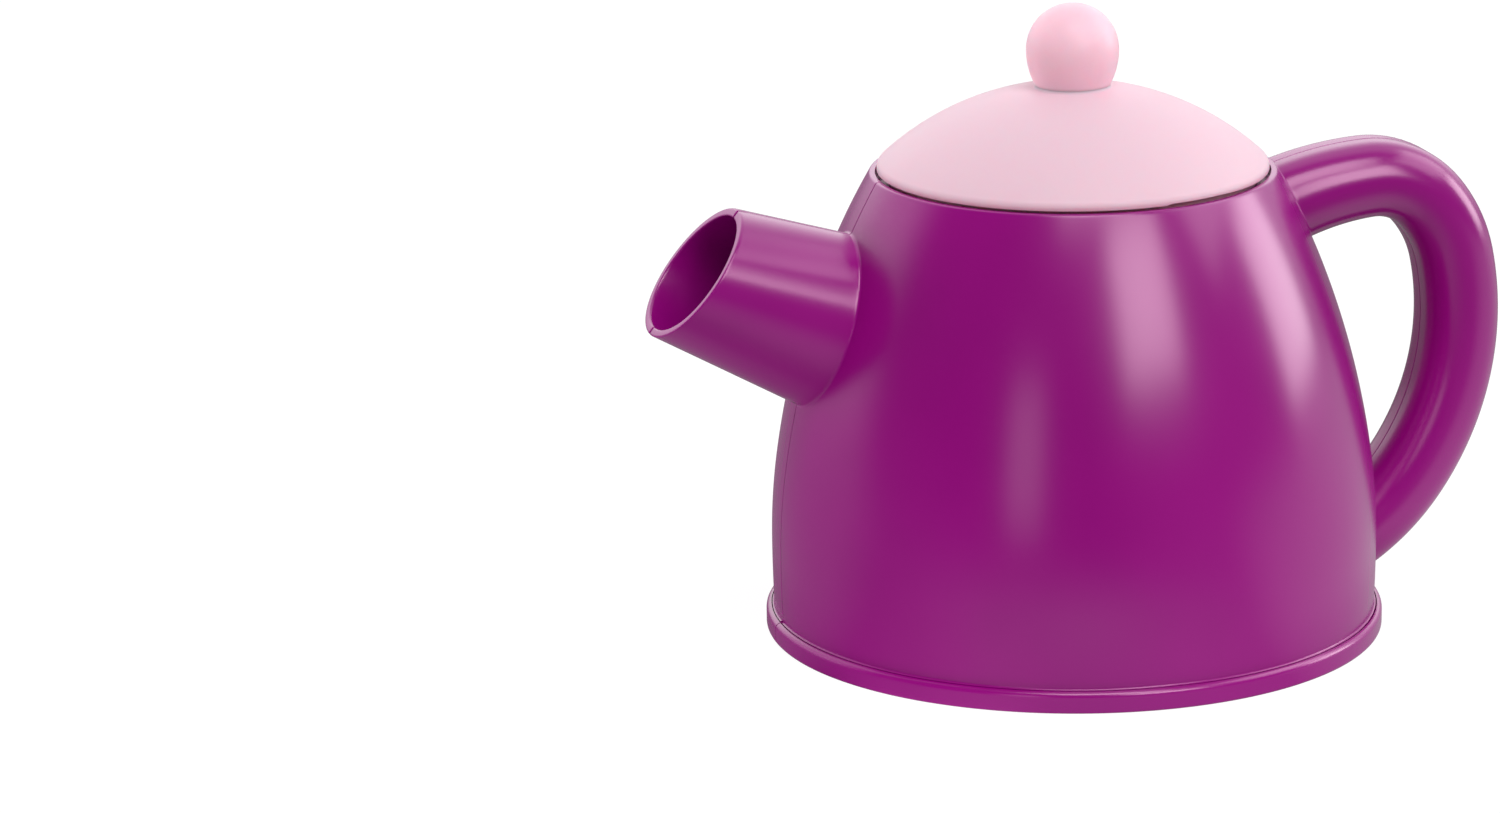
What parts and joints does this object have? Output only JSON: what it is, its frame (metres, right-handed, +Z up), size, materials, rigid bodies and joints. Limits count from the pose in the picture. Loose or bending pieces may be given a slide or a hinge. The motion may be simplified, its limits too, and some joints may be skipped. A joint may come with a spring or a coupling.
{
  "type": "toy teapot",
  "caption": "Child's plastic teapot with a straight wide spout, a loop handle, a flanged foot and a lift-off domed lid with a ball knob.",
  "frame": {"origin": "centre of the foot, on the surface that the pot stands on", "axes": "+Z up along the pot's axis, +X towards the handle, -X towards the spout, the halves meet on y = 0"},
  "size_m": [0.1837, 0.13, 0.1324],
  "materials": {
    "pot_purple": "satin gloss, moulded",
    "base_purple": "fine matte texture, moulded",
    "screw_steel": "bright zinc plated",
    "lid_pink": "satin, moulded",
    "knob_pink": "satin, moulded"
  },
  "bodies": {
    "pot": {"near_shell": "pot_purple", "far_shell": "pot_purple", "base_plate": "base_purple", "base_screws": "screw_steel", "handle_screws": "screw_steel"},
    "lid_set": {"lid": "lid_pink", "lid_knob": "knob_pink", "knob_screw": "screw_steel"}
  },
  "joints": [
    {"name": "lid_lift", "type": "slide", "parent": "pot", "child": "lid_set", "axis": [0, 0, 1], "range_m": [0, 0.06]}
  ]
}
